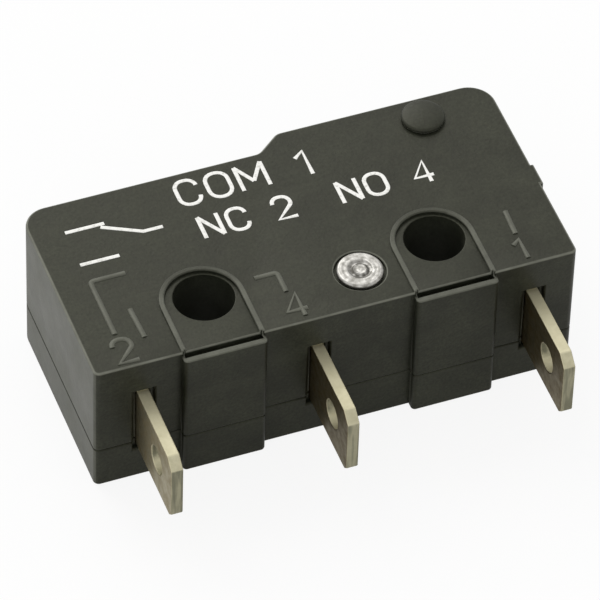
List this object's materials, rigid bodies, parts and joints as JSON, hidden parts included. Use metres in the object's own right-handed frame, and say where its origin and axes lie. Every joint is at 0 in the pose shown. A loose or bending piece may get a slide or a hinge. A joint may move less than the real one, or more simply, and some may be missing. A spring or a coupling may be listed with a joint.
{
  "type": "micro switch",
  "caption": "Flat moulded subminiature snap-action switch with a push pin on its raised edge, solder blades along the opposite edge and cross mounting holes through the body.",
  "frame": {"origin": "midway between the two mounting holes, on the outer face of the cover that the switch lies on", "axes": "+X along the housing towards the common terminal, +Y towards the plunger, +Z through the thickness towards the marked face"},
  "size_m": [0.0199, 0.0152, 0.0067],
  "materials": {
    "case_plastic": "fine moulded matte, charcoal black",
    "cover_plastic": "fine moulded matte, charcoal black",
    "rivet_metal": "bright, formed end",
    "plunger_plastic": "smooth, black",
    "plated_brass": "thin tin plating over brass",
    "contact_silver": "silver alloy",
    "spring_copper": "spring copper alloy strip"
  },
  "bodies": {
    "housing": {"case": "case_plastic", "cover": "cover_plastic", "rivet": "rivet_metal", "common_terminal": "plated_brass", "normally_open_terminal": "plated_brass", "normally_closed_terminal": "plated_brass", "normally_open_contact": "contact_silver", "normally_closed_contact": "contact_silver"},
    "plunger": {"plunger": "plunger_plastic"},
    "contact_arm": {"snap_blade": "spring_copper", "moving_contact": "contact_silver"}
  },
  "joints": [
    {"name": "plunger_slide", "type": "slide", "parent": "housing", "child": "plunger", "axis": [0, -1, 0], "range_m": [0, 0.001], "stiffness_N_per_m": 1200, "springref_m": -0.0004, "deforming": ["snap_blade"]},
    {"name": "contact_hinge", "type": "hinge", "parent": "housing", "child": "contact_arm", "pos_m": [0.0081, 0.0043, 0.0032], "axis": [0, 0, 1], "range_deg": [0, 2.1]}
  ],
  "couplings": [
    {"joint": "contact_hinge", "follows": "plunger_slide", "rad_per_m": 35.714}
  ]
}
